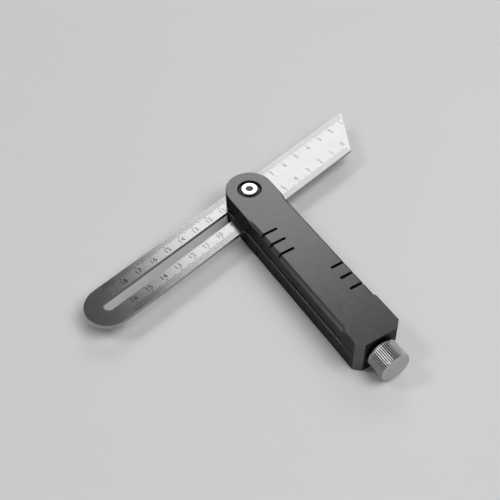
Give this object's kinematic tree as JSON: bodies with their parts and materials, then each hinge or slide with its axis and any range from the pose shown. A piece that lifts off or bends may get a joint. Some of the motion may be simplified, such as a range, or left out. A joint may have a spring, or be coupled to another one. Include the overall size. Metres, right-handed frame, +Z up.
{
  "type": "adjustable set square",
  "caption": "Sliding bevel square: a pointed, slotted and graduated steel blade turns and slides in a slotted dark metal handle, locked by a knurled knob at the butt.",
  "frame": {"origin": "middle of the handle's underside", "axes": "+X along the handle from the pivot to the butt, +Y across it to the side that the blade's point leaves, +Z up through the top face"},
  "size_m": [0.1632, 0.1972, 0.0223],
  "materials": {
    "shell": "bead blasted, black anodised",
    "blade": "satin",
    "bright_steel": "bright turned",
    "knob_steel": "satin, straight knurl",
    "dark_steel": "black oxide",
    "tool_steel": "ground",
    "bronze": "turned"
  },
  "bodies": {
    "handle": {"upper_shell": "shell", "lower_shell": "shell", "upper_plate": "tool_steel", "lower_plate": "tool_steel", "pivot_washer": "dark_steel", "butt_bush": "bronze", "thrust_washer": "dark_steel", "shell_screw_left": "dark_steel", "shell_screw_right": "dark_steel", "dowel_left": "tool_steel", "dowel_right": "tool_steel"},
    "key": {"guide_key": "tool_steel"},
    "blade": {"blade": "blade"},
    "knob": {"lock_knob": "knob_steel", "lock_screw": "tool_steel", "retaining_clip": "dark_steel", "knob_grub": "dark_steel"},
    "draw": {"draw_rod": "tool_steel", "draw_wedge": "tool_steel", "wedge_pin": "tool_steel", "traveller": "bronze", "traveller_pin": "tool_steel"},
    "bolt": {"pivot_bolt": "bright_steel", "pivot_nut": "tool_steel", "wedge_saddle": "tool_steel"}
  },
  "joints": [
    {"name": "blade_swing", "type": "hinge", "parent": "handle", "child": "key", "pos_m": [-0.052, 0, 0.011], "axis": [0, 0, 1], "range_deg": [-88, 61.5]},
    {"name": "blade_slide", "type": "slide", "parent": "key", "child": "blade", "axis": [0.2267, -0.974, 0], "range_m": [-0.0968, 0.0047]},
    {"name": "knob_turn", "type": "hinge", "parent": "handle", "child": "knob", "pos_m": [0.065, 0, 0.011], "axis": [1, 0, 0], "range_deg": [0, 540.5]},
    {"name": "rod_draw", "type": "slide", "parent": "handle", "child": "draw", "axis": [-1, 0, 0], "range_m": [0, 0.00105]},
    {"name": "bolt_lift", "type": "slide", "parent": "handle", "child": "bolt", "axis": [0, 0, 1], "range_m": [0, 0.000107]}
  ],
  "couplings": [
    {"joint": "knob_turn", "follows": "rod_draw", "rad_per_m": 8976},
    {"joint": "bolt_lift", "follows": "rod_draw", "ratio": 0.1}
  ]
}
